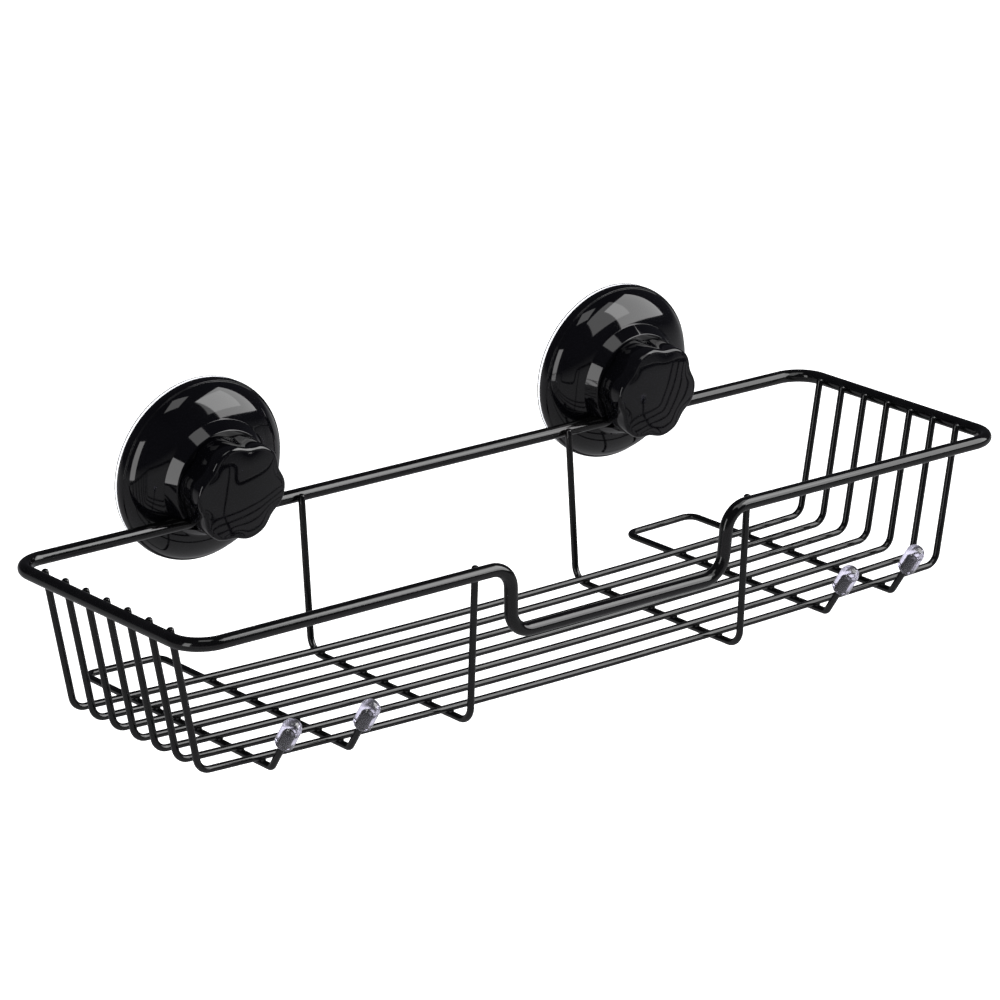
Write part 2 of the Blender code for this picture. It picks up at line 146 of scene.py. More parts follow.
def spread(tree, factor, low, high, from_low=0.3, from_high=0.7):
    """Map a noise value to a range of numbers."""
    node = tree.nodes.new("ShaderNodeMapRange")
    node.inputs["From Min"].default_value = from_low
    node.inputs["From Max"].default_value = from_high
    node.inputs["To Min"].default_value = low
    node.inputs["To Max"].default_value = high
    tree.links.new(factor, node.inputs["Value"])
    return node.outputs["Result"]


def two_tone(tree, factor, first, second, start=0.35, end=0.65):
    ramp = tree.nodes.new("ShaderNodeValToRGB")
    ramp.color_ramp.elements[0].position = start
    ramp.color_ramp.elements[0].color = (*first, 1.0)
    ramp.color_ramp.elements[1].position = end
    ramp.color_ramp.elements[1].color = (*second, 1.0)
    tree.links.new(factor, ramp.inputs["Fac"])
    return ramp.outputs["Color"]


def bumps(tree, shader, layers):
    """Stack bump layers of (height output, strength, distance) onto a shader."""
    last = None
    for height, strength, distance in layers:
        node = tree.nodes.new("ShaderNodeBump")
        node.inputs["Strength"].default_value = strength
        node.inputs["Distance"].default_value = distance
        tree.links.new(height, node.inputs["Height"])
        if last is not None:
            tree.links.new(last, node.inputs["Normal"])
        last = node.outputs["Normal"]
    tree.links.new(last, shader.inputs["Normal"])


def object_coordinates(tree):
    return tree.nodes.new("ShaderNodeTexCoord").outputs["Object"]


def coated_steel():
    """Gloss black powder coat: a faint orange peel and a slightly uneven gloss."""
    material, tree, shader = shader_of("coated_steel")
    place = object_coordinates(tree)
    patches = noise(tree, place, 90.0, 3.0)
    peel = noise(tree, place, 520.0, 2.0)
    grain = noise(tree, place, 2600.0, 2.0)
    tree.links.new(two_tone(tree, patches, (0.0010, 0.0010, 0.0011), (0.0020, 0.0020, 0.0022)),
                   shader.inputs["Base Color"])
    tree.links.new(spread(tree, patches, 0.07, 0.12), shader.inputs["Roughness"])
    shader.inputs["IOR"].default_value = 1.52
    bumps(tree, shader, [(peel, 0.18, 0.0001), (grain, 0.05, 0.00001)])
    return material


def gloss_plastic():
    """Polished moulded plastic with a hint of moulding ripple and an uneven, slight haze."""
    material, tree, shader = shader_of("gloss_plastic")
    place = object_coordinates(tree)
    flow = noise(tree, place, 26.0, 2.0)
    haze = noise(tree, place, 380.0, 4.0, 0.65)
    tree.links.new(two_tone(tree, flow, (0.0008, 0.0008, 0.0012), (0.0016, 0.0016, 0.0022)),
                   shader.inputs["Base Color"])
    tree.links.new(spread(tree, haze, 0.04, 0.075), shader.inputs["Roughness"])
    shader.inputs["IOR"].default_value = 1.5
    bumps(tree, shader, [(flow, 0.2, 0.0004)])
    return material


def soft_clear(name, tint, roughness, density):
    """Clear soft moulding: faint cloudiness and a slightly uneven skin."""
    material, tree, shader = shader_of(name)
    place = object_coordinates(tree)
    cloud = noise(tree, place, 210.0, 3.0)
    milky = tuple(channel * density for channel in tint)
    tree.links.new(two_tone(tree, cloud, milky, tint), shader.inputs["Base Color"])
    tree.links.new(spread(tree, cloud, roughness * 0.7, roughness * 1.3), shader.inputs["Roughness"])
    shader.inputs["Transmission Weight"].default_value = 0.985
    shader.inputs["IOR"].default_value = 1.42
    shader.inputs["Coat Weight"].default_value = 1.0
    shader.inputs["Coat Roughness"].default_value = 0.3
    bumps(tree, shader, [(cloud, 0.03, 0.0001)])
    return material


def post_plastic():
    """Hard pale plastic of the threaded posts."""
    material, tree, shader = shader_of("threaded_post")
    place = object_coordinates(tree)
    grain = noise(tree, place, 700.0, 3.0)
    tree.links.new(two_tone(tree, grain, (0.50, 0.50, 0.51), (0.58, 0.58, 0.59)),
                   shader.inputs["Base Color"])
    tree.links.new(spread(tree, grain, 0.3, 0.42), shader.inputs["Roughness"])
    bumps(tree, shader, [(grain, 0.2, 0.00005)])
    return material


# ---------------------------------------------------------------- mesh helpers


def new_piece(name, work, material, place, sharp=38.0):
    """A smooth-shaded object from a bmesh, with its vertices moved to their place."""
    bmesh.ops.recalc_face_normals(work, faces=work.faces)
    mesh = bpy.data.meshes.new(name)
    work.to_mesh(mesh)
    work.free()
    mesh.transform(place)
    mesh.shade_smooth()
    mesh.set_sharp_from_angle(angle=math.radians(sharp))
    mesh.materials.append(material)
    item = bpy.data.objects.new(name, mesh)
    bpy.context.scene.collection.objects.link(item)
    return item


def settle(item, body, slot, *nodes):
    """Give a finished piece its body and hide the CAD nodes it stands for; slot is not used."""
    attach(item, body)
    if nodes:
        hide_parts(*nodes)


def bend_arc(before, corner, after, radius, steps):
    """Points of the arc that rounds one corner of a route."""
    to_before = (before - corner).normalized()
    to_after = (after - corner).normalized()
    half_angle = to_before.angle(to_after) / 2
    setback = radius / math.tan(half_angle)
    centre = corner + (to_before + to_after).normalized() * (radius / math.sin(half_angle))
    start = corner + to_before * setback - centre
    end = corner + to_after * setback - centre
    turn = math.pi - 2 * half_angle
    points = []
    for step in range(steps + 1):
        share = step / steps
        blend = start * math.sin((1 - share) * turn) + end * math.sin(share * turn)
        points.append(centre + blend / math.sin(turn))
    return points


def bent_route(corners, steps=14):
    """Round a list of (point, bend radius) corners; a radius of zero keeps the point."""
    points = []
    count = len(corners)
    for index, (place, radius) in enumerate(corners):
        if radius == 0:
            points.append(Vector(place))
            continue
        before = Vector(corners[index - 1][0])
        after = Vector(corners[(index + 1) % count][0])
        points.extend(bend_arc(before, Vector(place), after, radius, steps))
    return points


def with_spacing(points, closed, longest):
    """Add points along the long straight runs, so that the tube's faces stay short."""
    result = []
    count = len(points)
    for index in range(count if closed else count - 1):
        start = points[index]
        end = points[(index + 1) % count]
        pieces = max(1, math.ceil((end - start).length / longest))
        for step in range(pieces):
            result.append(start.lerp(end, step / pieces))
    if not closed:
        result.append(points[-1])
    return result


def join_rings(work, pairs):
    """Quads between pairs of rings that have as many vertices as each other."""
    for lower, upper in pairs:
        count = len(lower)
        for index in range(count):
            after = (index + 1) % count
            work.faces.new((lower[index], lower[after], upper[after], upper[index]))


def close_ring(work, ring, centre):
    """A fan of triangles from a ring to a point in its middle."""
    hub = work.verts.new(centre)
    for index, vert in enumerate(ring):
        work.faces.new((vert, ring[(index + 1) % len(ring)], hub))


def add_tube(work, points, radius, sides, closed=False, dome=6):
    """A round bar along a route; an open one ends in domes that stay within its length."""
    count = len(points)
    tangents = []
    for index in range(count):
        if closed:
            run = points[(index + 1) % count] - points[index - 1]
        else:
            run = points[min(index + 1, count - 1)] - points[max(index - 1, 0)]
        tangents.append(run.normalized())
    side = tangents[0].orthogonal().normalized()
    frames = []
    for index in range(count):
        if index:
            side = tangents[index - 1].rotation_difference(tangents[index]) @ side
            side = (side - tangents[index] * side.dot(tangents[index])).normalized()
        frames.append(side.copy())
    turn = 0.0
    if closed:
        last = tangents[-1].rotation_difference(tangents[0]) @ frames[-1]
        turn = math.atan2(last.cross(frames[0]).dot(tangents[0]), last.dot(frames[0]))
    stations = []
    for index in range(count):
        twist = turn * index / count
        stations.append((points[index], tangents[index], frames[index], radius, twist))
    if not closed:
        stations = dome_stations(stations[0], -1, radius, dome)[::-1] + stations[1:-1] \
            + dome_stations(stations[-1], 1, radius, dome)
    rings = []
    for centre, tangent, across, size, twist in stations:
        other = tangent.cross(across)
        ring = []
        for index in range(sides):
            angle = 2 * math.pi * index / sides + twist
            spoke = across * math.cos(angle) + other * math.sin(angle)
            ring.append(work.verts.new(centre + spoke * size))
        rings.append(ring)
    pairs = list(zip(rings, rings[1:]))
    if closed:
        pairs.append((rings[-1], rings[0]))
    join_rings(work, pairs)
    if not closed:
        for ring, station, way in ((rings[0], stations[0], -1), (rings[-1], stations[-1], 1)):
            centre, tangent, _, size, _ = station
            close_ring(work, ring, centre + tangent * way * size * TIP_RISE)


def dome_stations(station, way, radius, steps):
    """Shrinking sections that round off one end of a bar."""
    centre, tangent, across, size, twist = station
    depth = radius * END_DOME_DEPTH
    stations = []
    for step in range(steps):
        angle = math.pi / 2 * step / steps
        offset = (math.sin(angle) - 1.0) * depth
        stations.append((centre + tangent * way * offset, tangent, across, size * math.cos(angle), twist))
    return stations


def add_neck(work, first, second, radius, waist):
    """A short weld fillet between the centre lines of two bars that touch."""
    axis = (second - first).normalized()
    across = axis.orthogonal().normalized()
    other = axis.cross(across)
    sides = 20
    steps = 8
    rings = []
    for step in range(steps + 1):
        share = step / steps
        size = waist + (radius - waist) * (2 * share - 1) ** 2
        centre = first.lerp(second, share)
        rings.append([work.verts.new(centre + (across * math.cos(2 * math.pi * index / sides)
                                               + other * math.sin(2 * math.pi * index / sides)) * size)
                      for index in range(sides)])
    join_rings(work, zip(rings, rings[1:]))
    work.faces.new(rings[0])
    work.faces.new(rings[-1])


def turned_body(profile, segments):
    """Spin a (radius, height) outline about Z; an outline off the axis is closed on itself."""
    work = bmesh.new()
    on_axis = profile[0][0] == 0
    verts = [work.verts.new((radius, 0, height)) for radius, height in profile]
    edges = [work.edges.new(pair) for pair in zip(verts, verts[1:])]
    if not on_axis:
        edges.append(work.edges.new((verts[-1], verts[0])))
    bmesh.ops.spin(work, geom=verts + edges, cent=(0, 0, 0), axis=(0, 0, 1),
                   angle=2 * math.pi, steps=segments, use_merge=True)
    bmesh.ops.remove_doubles(work, verts=work.verts, dist=1e-6)
    return work


def arc_points(start, end, bulge, steps):
    """Points of a shallow arc from start to end, both (radius, height), bowed by bulge."""
    run = (end[0] - start[0], end[1] - start[1])
    length = math.hypot(*run)
    normal = (-run[1] / length, run[0] / length)
    points = []
    for step in range(steps + 1):
        share = step / steps
        bow = bulge * 4 * share * (1 - share)
        points.append((start[0] + run[0] * share + normal[0] * bow,
                       start[1] + run[1] * share + normal[1] * bow))
    return points


def tangent_curve(start, shoulder, end, steps):
    """Points of a smooth curve that leaves start and reaches end aimed at the shoulder."""
    points = []
    for step in range(steps + 1):
        share = step / steps
        weights = ((1 - share) ** 2, 2 * share * (1 - share), share ** 2)
        points.append(tuple(sum(weight * place[axis] for weight, place
                                in zip(weights, (start, shoulder, end))) for axis in (0, 1)))
    return points


def eased(outline, radii, steps=5):
    """Round the corners of a (radius, height) outline; radii maps corner index to its fillet."""
    points = []
    count = len(outline)
    for index, place in enumerate(outline):
        fillet = radii.get(index, 0)
        if fillet == 0:
            points.append(place)
            continue
        before = Vector(outline[index - 1])
        after = Vector(outline[(index + 1) % count])
        here = Vector(place)
        to_before = (before - here).normalized()
        to_after = (after - here).normalized()
        half = to_before.angle(to_after) / 2
        setback = min(fillet / math.tan(half), 0.49 * (before - here).length, 0.49 * (after - here).length)
        first = here + to_before * setback
        last = here + to_after * setback
        for step in range(steps + 1):
            share = step / steps
            bend = first * (1 - share) ** 2 + here * 2 * share * (1 - share) + last * share ** 2
            points.append((bend.x, bend.y))
    return points


# ---------------------------------------------------------------- basket


def floor_level(x):
    return -BASKET_HEIGHT + FLOOR_BOW * (x / FLOOR_HALF_WIDTH) ** 2


def under_floor_level(x):
    return floor_level(x) - 2 * WIRE_RADIUS - WELD_GAP


def floor_wire_y(number):
    return FLOOR_FIRST_Y + number * (FLOOR_LAST_Y - FLOOR_FIRST_Y) / (FLOOR_WIRE_COUNT - 1)


WELD_REACH = ROD_RADIUS + WIRE_RADIUS + WELD_GAP


def make_rim(material):
    side = BASKET_LENGTH / 2
    front = -BASKET_DEPTH
    dip_floor = front + SUPPORT_LEAN * DIP_DEPTH / BASKET_HEIGHT
    corners = [
        ((side, 0, 0), RIM_CORNER_RADIUS),
        ((-side, 0, 0), RIM_CORNER_RADIUS),
        ((-side, front, 0), RIM_CORNER_RADIUS),
        ((-DIP_TOP_HALF_WIDTH, front, 0), DIP_BEND_RADIUS),
        ((-DIP_BOTTOM_HALF_WIDTH, dip_floor, -DIP_DEPTH), DIP_BEND_RADIUS),
        ((DIP_BOTTOM_HALF_WIDTH, dip_floor, -DIP_DEPTH), DIP_BEND_RADIUS),
        ((DIP_TOP_HALF_WIDTH, front, 0), DIP_BEND_RADIUS),
        ((side, front, 0), RIM_CORNER_RADIUS),
    ]
    work = bmesh.new()
    points = with_spacing(bent_route(corners, steps=20), True, 6 * MM)
    add_tube(work, points, ROD_RADIUS, 40, closed=True)
    rim = new_piece("rim_rod", work, material, BASKET_PLACE)
    settle(rim, "basket", "coated_steel", "rim_frame")


def wire_piece(name, corners, material, *nodes):
    work = bmesh.new()
    points = with_spacing(bent_route(corners), False, 5 * MM)
    add_tube(work, points, WIRE_RADIUS, 24)
    piece = new_piece(name, work, material, BASKET_PLACE)
    settle(piece, "basket", "coated_steel", *nodes)


def floor_end_geometry():
    """Height of the floor's bends, and where the bent-up ends meet the rim and stop."""
    end_level = floor_level(FLOOR_HALF_WIDTH)
    lean = math.atan2(BASKET_LENGTH / 2 - WELD_REACH - FLOOR_HALF_WIDTH, -end_level)
    rim_x = BASKET_LENGTH / 2 - WELD_REACH / math.cos(lean)
    tip_x = rim_x + TIP_ABOVE_RIM * math.tan(lean)
    return end_level, rim_x, tip_x


def make_floor_wires(material):
    end_level, _, tip_x = floor_end_geometry()
    runs = 48
    for number in range(FLOOR_WIRE_COUNT):
        y = floor_wire_y(number)
        corners = [((-tip_x, y, TIP_ABOVE_RIM), 0)]
        corners.append(((-FLOOR_HALF_WIDTH, y, end_level), FLOOR_BEND_RADIUS))
        for step in range(3, runs - 2):
            x = FLOOR_HALF_WIDTH * (2 * step / runs - 1)
            corners.append(((x, y, floor_level(x)), 0))
        corners.append(((FLOOR_HALF_WIDTH, y, end_level), FLOOR_BEND_RADIUS))
        corners.append(((tip_x, y, TIP_ABOVE_RIM), 0))
        wire_piece(f"floor_bar_{number + 1}", corners, material, f"floor_wire_{number + 1}")


def support_ends():
    level = under_floor_level(SUPPORT_X)
    rise = TIP_ABOVE_RIM / -level * SUPPORT_LEAN
    return level, rise, -WELD_REACH, -BASKET_DEPTH + WELD_REACH


def make_supports(material):
    level, rise, back_y, front_y = support_ends()
    for side, x in (("left", -SUPPORT_X), ("right", SUPPORT_X)):
        corners = [
            ((x, back_y + rise, TIP_ABOVE_RIM), 0),
            ((x, back_y - SUPPORT_LEAN, level), SUPPORT_BEND_RADIUS),
            ((x, front_y + SUPPORT_LEAN, level), SUPPORT_BEND_RADIUS),
            ((x, front_y - rise, TIP_ABOVE_RIM), 0),
        ]
        wire_piece(f"support_bar_{side}", corners, material, f"cross_support_{side}")


def hook_rear_y(level):
    reach = ROD_FROM_WALL - WIRE_RADIUS - WELD_GAP
    return (reach - level * math.sin(BASKET_TILT)) / math.cos(BASKET_TILT)


def hook_point(x, distance):
    y = HOOK_FRONT_Y - distance * math.cos(HOOK_RISE_ANGLE)
    z = under_floor_level(x) + distance * math.sin(HOOK_RISE_ANGLE)
    return (x, y, z)


def make_hook_wires(material):
    for side_name, side in (("left", -1), ("right", 1)):
        outer = side * HOOK_OUTER_X
        inner = side * HOOK_INNER_X
        corners = []
        for x in (outer, inner):
            level = under_floor_level(x)
            leg = [
                (hook_point(x, HOOK_RISE_LENGTH), 0),
                (hook_point(x, 0), HOOK_FRONT_RADIUS),
                ((x, hook_rear_y(level), level), HOOK_REAR_RADIUS),
            ]
            corners.extend(leg if x == outer else reversed(leg))
        wire_piece(f"hook_bar_{side_name}", corners, material, f"hook_wire_{side_name}")


def make_welds(material):
    """Coated-over weld fillets wherever a wire crosses a wire or meets the rim rod."""
    wire_weld = (1.25 * MM, 0.95 * MM)  # radius at the ends and at the waist
    rim_weld = (1.4 * MM, 1.1 * MM)
    end_level, rim_x, _ = floor_end_geometry()
    groups = {"welds_floor": bmesh.new(), "welds_rim": bmesh.new()}
    for number in range(FLOOR_WIRE_COUNT):
        y = floor_wire_y(number)
        for x in (SUPPORT_X, HOOK_INNER_X, HOOK_OUTER_X):
            for side in (-1, 1):
                upper = Vector((side * x, y, floor_level(x)))
                lower = Vector((side * x, y, under_floor_level(x)))
                add_neck(groups["welds_floor"], lower, upper, *wire_weld)
        for side in (-1, 1):
            wire = Vector((side * rim_x, y, 0))
            rod = Vector((side * BASKET_LENGTH / 2, y, 0))
            add_neck(groups["welds_rim"], wire, rod, *rim_weld)
    _, _, back_y, front_y = support_ends()
    for side in (-1, 1):
        for wire_y, rod_y in ((back_y, 0), (front_y, -BASKET_DEPTH)):
            wire = Vector((side * SUPPORT_X, wire_y, 0))
            rod = Vector((side * SUPPORT_X, rod_y, 0))
            add_neck(groups["welds_rim"], wire, rod, *rim_weld)
    for name, work in groups.items():
        settle(new_piece(name, work, material, BASKET_PLACE), "basket", "coated_steel")


def make_hook_caps(material):
    """Clear domed caps, each turned from one outline: closed bore, flared mouth, skirt and dome."""
    bore = WIRE_RADIUS - 0.03 * MM  # the soft cap grips the wire
    dome_start = CAP_LENGTH - CAP_RADIUS
    bore_steps = 5
    outline = [(0, CAP_GRIP_DEPTH)]
    for step in range(bore_steps):
        angle = math.pi / 2 * (bore_steps - 1 - step) / bore_steps
        fall = bore / 2 * (1 - math.sin(angle))
        outline.append((bore * math.cos(angle), CAP_GRIP_DEPTH - fall))
    outline += [(bore, 0.5 * MM), (bore + 0.25 * MM, 0.1 * MM), (bore + 0.6 * MM, 0)]
    outline += [(CAP_RADIUS - 0.7 * MM, 0), (CAP_RADIUS - 0.2 * MM, 0.15 * MM), (CAP_RADIUS, 0.6 * MM)]
    outline += [(CAP_RADIUS, dome_start)]
    steps = 16
    for step in range(1, steps):
        angle = math.pi / 2 * step / steps
        outline.append((CAP_RADIUS * math.cos(angle), dome_start + CAP_RADIUS * math.sin(angle)))
    outline.append((0, CAP_LENGTH))
    places = (("left_outer", -HOOK_OUTER_X), ("left_inner", -HOOK_INNER_X),
              ("right_inner", HOOK_INNER_X), ("right_outer", HOOK_OUTER_X))
    for name, x in places:
        stand = Matrix.Translation(hook_point(x, CAP_START)) \
            @ Matrix.Rotation(math.pi / 2 - HOOK_RISE_ANGLE, 4, "X")
        body = turned_body(outline, 48)
        cap = new_piece(f"soft_cap_{name}", body, material, BASKET_PLACE @ stand, sharp=60.0)
        settle(cap, "basket", "hook_cap", f"hook_cap_{name}")


# ---------------------------------------------------------------- suction cups


def cup_place(x):
    return Matrix.Translation((x, 0, 0)) @ Matrix.Rotation(math.pi / 2, 4, "X")


def make_pad(side, x, material):
    """Clear pad: flat sealing ring with fine grip rings, a domed web and a central boss."""
    seal = SEAL_INNER_RADIUS
    boss = 9.5 * MM
    rear_centre = 5.0 * MM
    front_slope = 7.2 * MM
    boss_front = 11.8 * MM
    pocket = POST_HEAD_RADIUS + WELD_GAP
    pocket_rear = 6.7 * MM
    pocket_front = 9.2 * MM
    post_hole = 5.0 * MM
    edge = 0.4 * MM
    edge_ease = 0.1 * MM
    grip_half_width = 0.22 * MM
    grip_depth = 0.16 * MM
    outline = [(0, rear_centre)]
    outline += arc_points((boss, rear_centre), (seal, 0), 0.7 * MM, 12)
    rings = 5
    ring_step = (PAD_RADIUS - edge - seal) / (rings + 1)
    for ring in range(1, rings + 1):
        middle = seal + ring * ring_step
        outline += [(middle - grip_half_width, 0), (middle, grip_depth), (middle + grip_half_width, 0)]
    outline += [(PAD_RADIUS - edge, 0), (PAD_RADIUS - edge_ease, edge_ease), (PAD_RADIUS, edge)]
    outline += [(PAD_RADIUS, PAD_RIM_THICKNESS - edge)]
    outline += [(PAD_RADIUS - edge_ease, PAD_RIM_THICKNESS - edge_ease)]
    outline += [(PAD_RADIUS - edge, PAD_RIM_THICKNESS)]
    outline += arc_points((seal, PAD_RIM_THICKNESS), (boss, front_slope), -0.7 * MM, 12)
    outline += [(boss, boss_front), (post_hole, boss_front)]
    outline += [(post_hole, pocket_front), (pocket, pocket_front), (pocket, pocket_rear), (0, pocket_rear)]
    pad = new_piece(f"{side}_clear_pad", turned_body(outline, 128), material, cup_place(x))
    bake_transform(pad)
    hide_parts(f"{side}_suction_pad")


def cover_outline():
    """Half section of the cover: rim band, small ledge, dome, neck, and the hollow behind."""
    rim_rear = PAD_RIM_THICKNESS + WELD_GAP
    rim_inner = COVER_RADIUS - COVER_WALL
    edge_radius = COVER_RADIUS - COVER_RIM_ROUNDING
    shoulder = (DOME_SHOULDER_RADIUS, DOME_SHOULDER_HEIGHT)
    band = arc_points((edge_radius, rim_rear), (edge_radius, COVER_RIM_HEIGHT), -COVER_RIM_ROUNDING, 16)
    dome_start = (DOME_RADIUS, COVER_RIM_HEIGHT)
    dome = tangent_curve(dome_start, shoulder, (NECK_BASE_RADIUS, NECK_BASE_HEIGHT), 32)
    hollow_start = (NECK_BASE_RADIUS - 3.4 * MM, HUB_REAR_HEIGHT)
    hollow_end = (rim_inner - 0.6 * MM, COVER_RIM_HEIGHT - 2.0 * MM)
    outline = [(rim_inner, rim_rear)] + band
    ledge = len(outline) - 1
    outline += dome
    neck = len(outline)
    outline += [(NECK_FRONT_RADIUS, NECK_FRONT_HEIGHT)]
    outline += [(POST_HOLE_RADIUS, NECK_FRONT_HEIGHT), (POST_HOLE_RADIUS, HUB_REAR_HEIGHT)]
    outline += arc_points(hollow_start, hollow_end, 2.6 * MM, 14)
    fillets = {
        0: 0.3 * MM,
        1: 0.2 * MM,
        ledge: 0.2 * MM,
        ledge + 1: 0.12 * MM,
        neck - 1: 0.25 * MM,
        neck: 0.6 * MM,
        neck + 1: 0.4 * MM,
        neck + 2: 0.4 * MM,
    }
    return eased(outline, fillets)


def channel_cutter():
    """The channel that both cover necks keep open for the back rod."""
    radius = ROD_RADIUS + WELD_GAP
    reach = 12.0 * MM
    half_length = CUP_SPACING / 2 + PAD_RADIUS + 10.0 * MM
    steps = 32
    outline = []
    for step in range(steps + 1):
        angle = math.pi * step / steps
        outline.append((radius * math.sin(angle), radius * math.cos(angle)))
    outline += [(-reach, -radius), (-reach, radius)]
    work = bmesh.new()
    face = work.faces.new([work.verts.new((-half_length, y, z)) for y, z in outline])
    grown = bmesh.ops.extrude_face_region(work, geom=[face])
    verts = [item for item in grown["geom"] if isinstance(item, bmesh.types.BMVert)]
    bmesh.ops.translate(work, verts=verts, vec=(2 * half_length, 0, 0))
    bmesh.ops.recalc_face_normals(work, faces=work.faces)
    mesh = bpy.data.meshes.new("channel_cutter")
    work.to_mesh(mesh)
    work.free()
    mesh.transform(ROD_PLACE)
    cutter = bpy.data.objects.new("channel_cutter", mesh)
    bpy.context.scene.collection.objects.link(cutter)
    return cutter


def apply_modifiers(item):
    graph = bpy.context.evaluated_depsgraph_get()
    made = bpy.data.meshes.new_from_object(item.evaluated_get(graph))
    item.modifiers.clear()
    item.data = made


def make_cover(side, x, material, cutter):
    sharp = 30.0
    shell = turned_body(cover_outline(), 160)
    cover = new_piece(f"{side}_gloss_cover", shell, material, cup_place(x), sharp)
    cut = cover.modifiers.new("channel", "BOOLEAN")
    cut.object = cutter
    cut.operation = "DIFFERENCE"
    cut.solver = "EXACT"
    apply_modifiers(cover)
    cover.data.shade_smooth()
    cover.data.set_sharp_from_angle(angle=math.radians(sharp))
    settle(cover, "suction_cups", "cover", f"{side}_cover")


def lobed_ring(inset, height, count, valley_depth=KNOB_VALLEY_DEPTH):
    points = []
    for index in range(count):
        angle = 2 * math.pi * index / count
        wave = 0.5 + 0.5 * math.cos(KNOB_LOBES * (angle - KNOB_VALLEY_ANGLE))
        radius = KNOB_RADIUS - inset - valley_depth * wave ** 1.6
        points.append((radius * math.cos(angle), radius * math.sin(angle), height))
    return points


def make_knob(side, x, material):
    """Hollow lobed knob with a rounded front edge and a slightly crowned face."""
    count = 180
    edge = KNOB_EDGE_RADIUS
    cavity_top = KNOB_FRONT_HEIGHT - KNOB_WALL
    boss = 7.6 * MM
    bore = 4.55 * MM
    boss_rear = KNOB_REAR_HEIGHT + 0.6 * MM
    bore_end = 33.3 * MM  # clear of the post's tip
    mouth = 0.3 * MM
    hem = 0.2 * MM

    def circle(radius, height):
        return [(radius * math.cos(2 * math.pi * index / count),
                 radius * math.sin(2 * math.pi * index / count), height) for index in range(count)]

    rings = [
        circle(bore, bore_end),
        circle(bore, boss_rear + mouth),
        circle(bore + mouth, boss_rear),
        circle(boss - mouth, boss_rear),
        circle(boss, boss_rear + mouth),
        circle(boss, cavity_top),
        lobed_ring(KNOB_WALL + edge, cavity_top, count),
        lobed_ring(KNOB_WALL, cavity_top - edge, count),
        lobed_ring(KNOB_WALL, KNOB_REAR_HEIGHT + hem, count),
        lobed_ring(KNOB_WALL - hem, KNOB_REAR_HEIGHT, count),
        lobed_ring(0.35 * MM, KNOB_REAR_HEIGHT, count),
        lobed_ring(0.1 * MM, KNOB_REAR_HEIGHT + 0.1 * MM, count),
        lobed_ring(0, KNOB_REAR_HEIGHT + 0.35 * MM, count),
    ]
    steps = 12
    for step in range(steps + 1):
        angle = math.pi / 2 * step / steps
        inset = edge * (1 - math.cos(angle))
        height = KNOB_FRONT_HEIGHT - edge * (1 - math.sin(angle))
        rings.append(lobed_ring(inset, height, count))
    face_radius = KNOB_RADIUS - edge
    for share in (0.97, 0.93, 0.88, 0.82, 0.74, 0.64, 0.52, 0.38, 0.22, 0.1):
        height = KNOB_FRONT_HEIGHT + KNOB_CROWN * (1 - share ** 2)
        valley = KNOB_VALLEY_DEPTH * max(0.0, (share - 0.6) / 0.4) ** 2
        rings.append(lobed_ring(KNOB_RADIUS - face_radius * share, height, count, valley))
    work = bmesh.new()
    rows = [[work.verts.new(place) for place in ring] for ring in rings]
    join_rings(work, zip(rows, rows[1:]))
    close_ring(work, rows[0], (0, 0, bore_end))
    close_ring(work, rows[-1], (0, 0, KNOB_FRONT_HEIGHT + KNOB_CROWN))
    knob = new_piece(f"{side}_gloss_knob", work, material, cup_place(x))
    settle(knob, f"{side}_knob_body", "knob", f"{side}_knob")


def make_cups(plastic, clear, post):
    cutter = channel_cutter()
    for side, x in (("left", -CUP_SPACING / 2), ("right", CUP_SPACING / 2)):
        make_pad(side, x, clear)
        make_cover(side, x, plastic, cutter)
        make_knob(side, x, plastic)
        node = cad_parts[f"{side}_threaded_post"]
        node.data.materials.clear()
        node.data.materials.append(post)
    bpy.data.objects.remove(cutter, do_unlink=True)


# ---------------------------------------------------------------- studio


def add_panel(name, place, target, width, height, power):
    """A soft rectangular lamp that faces its target."""
    lamp = bpy.data.lights.new(name, "AREA")
    lamp.shape = "RECTANGLE"
    lamp.size = width
    lamp.size_y = height
    lamp.energy = power
    item = bpy.data.objects.new(name, lamp)
    item.location = place
    item.rotation_euler = (Vector(target) - Vector(place)).to_track_quat("-Z", "Y").to_euler()
    item.visible_camera = False
    bpy.context.scene.collection.objects.link(item)


def make_floor():
    half = 6.0
    level = -0.42
    work = bmesh.new()
    corners = [(-half, -half, level), (half, -half, level), (half, half, level), (-half, half, level)]
    work.faces.new([work.verts.new(corner) for corner in corners])
    material, tree, shader = shader_of("pale_floor")
    place = object_coordinates(tree)
    tree.links.new(two_tone(tree, noise(tree, place, 3.0, 3.0), (0.86, 0.86, 0.86), (0.90, 0.90, 0.90)),
                   shader.inputs["Base Color"])
    shader.inputs["Roughness"].default_value = 0.9
    shader.inputs["Emission Color"].default_value = (1.0, 1.0, 1.0, 1.0)
    shader.inputs["Emission Strength"].default_value = 0.55
    floor = new_piece("studio_floor", work, material, Matrix.Identity(4))
    floor.visible_glossy = False


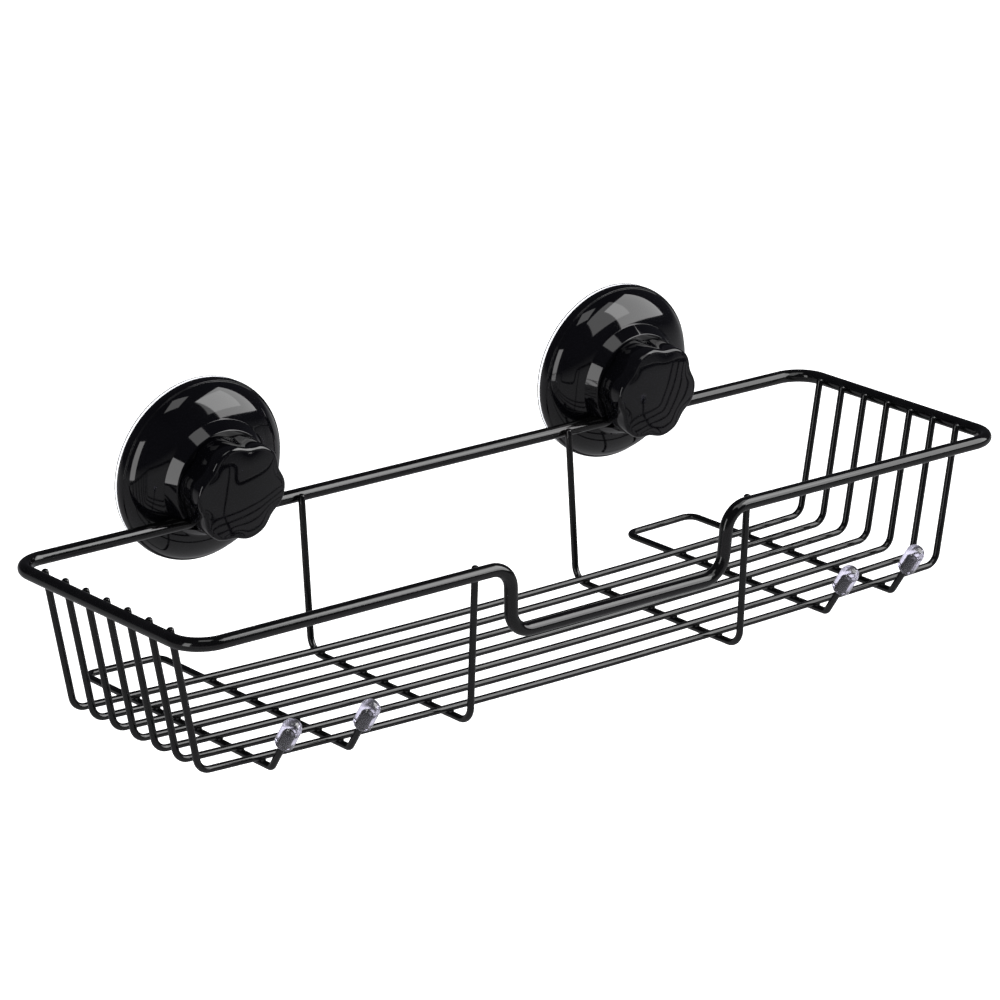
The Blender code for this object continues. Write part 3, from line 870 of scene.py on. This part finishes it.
def make_world():
    """White all round, but in reflections a dark room over a dim grey table."""
    world = bpy.data.worlds.new("studio")
    bpy.context.scene.world = world
    world.use_nodes = True
    tree = world.node_tree
    tree.nodes.clear()
    place = tree.nodes.new("ShaderNodeTexCoord")
    split = tree.nodes.new("ShaderNodeSeparateXYZ")
    tree.links.new(place.outputs["Generated"], split.inputs["Vector"])
    lift = tree.nodes.new("ShaderNodeMapRange")
    lift.inputs["From Min"].default_value = -1.0
    tree.links.new(split.outputs["Z"], lift.inputs["Value"])
    ramp = tree.nodes.new("ShaderNodeValToRGB")
    table = ramp.color_ramp.elements[0]
    table.position = 0.40
    table.color = (0.34, 0.34, 0.35, 1.0)
    room = ramp.color_ramp.elements[1]
    room.position = 0.50
    room.color = (0.035, 0.035, 0.042, 1.0)
    tree.links.new(lift.outputs["Result"], ramp.inputs["Fac"])
    dim = tree.nodes.new("ShaderNodeBackground")
    tree.links.new(ramp.outputs["Color"], dim.inputs["Color"])
    plain = tree.nodes.new("ShaderNodeBackground")
    plain.inputs["Color"].default_value = (1.0, 1.0, 1.0, 1.0)
    path = tree.nodes.new("ShaderNodeLightPath")
    mix = tree.nodes.new("ShaderNodeMixShader")
    reflected = tree.nodes.new("ShaderNodeMath")
    reflected.operation = "MINIMUM"
    reflected.inputs[1].default_value = 1.0
    tree.links.new(path.outputs["Glossy Depth"], reflected.inputs[0])
    tree.links.new(reflected.outputs["Value"], mix.inputs["Fac"])
    tree.links.new(plain.outputs["Background"], mix.inputs[1])
    tree.links.new(dim.outputs["Background"], mix.inputs[2])
    output = tree.nodes.new("ShaderNodeOutputWorld")
    tree.links.new(mix.outputs["Shader"], output.inputs["Surface"])


def make_lights():
    """Soft boxes, each given as direction, distance, size and brightness in reflections."""
    boxes = (
        ("window_far", (0.69, -0.50, 0.53), 1.7, (1.45, 1.50), 4.2),
        ("window_near", (0.36, -0.50, 0.62), 0.36, (0.26, 0.27), 1.8),
        ("left_box", (-0.95, -0.27, 0.15), 1.4, (0.42, 0.98), 3.4),
        ("overhead_box", (-0.19, -0.23, 0.95), 1.2, (0.46, 0.46), 1.8),
    )
    centre = Vector((0.0, -0.06, -0.01))
    for name, direction, distance, (width, height), brightness in boxes:
        power = brightness * math.pi * width * height
        place = centre + Vector(direction).normalized() * distance
        add_panel(name, place, centre, width, height, power)


def make_camera():
    """A long lens from the front left, a little above the basket."""
    focal_in_widths = 4.5854
    azimuth = math.radians(-37.725)
    elevation = math.radians(18.2)
    roll = math.radians(-0.607)
    distance = 1870.0 * MM
    aside = -8.64 * MM
    raised = 27.34 * MM
    target = Vector((0, -60.0 * MM, -30.0 * MM))
    back = Vector((math.sin(azimuth) * math.cos(elevation),
                   -math.cos(azimuth) * math.cos(elevation), math.sin(elevation)))
    level = Vector((math.cos(azimuth), math.sin(azimuth), 0))
    upright = back.cross(level)
    right = level * math.cos(roll) + upright * math.sin(roll)
    up = upright * math.cos(roll) - level * math.sin(roll)
    pose = Matrix((right, up, back)).transposed().to_4x4()
    pose.translation = target + right * aside + up * raised + back * distance
    lens = bpy.data.cameras.new("camera")
    lens.sensor_width = 36.0
    lens.lens = focal_in_widths * lens.sensor_width
    lens.clip_start = 0.05
    lens.clip_end = 40.0
    camera = bpy.data.objects.new("camera", lens)
    camera.matrix_world = BASKET_PLACE @ pose
    bpy.context.scene.collection.objects.link(camera)
    bpy.context.scene.camera = camera


def build():
    steel = coated_steel()
    make_rim(steel)
    make_floor_wires(steel)
    make_supports(steel)
    make_hook_wires(steel)
    make_welds(steel)
    make_hook_caps(soft_clear("hook_cap_clear", (0.56, 0.54, 0.67), 0.15, 0.90))
    make_cups(gloss_plastic(), soft_clear("suction_pad_clear", (0.90, 0.91, 0.95), 0.16, 0.93),
              post_plastic())
    make_floor()
    make_world()
    make_lights()
    make_camera()


build()
bpy.context.scene.view_settings.view_transform = "Standard"
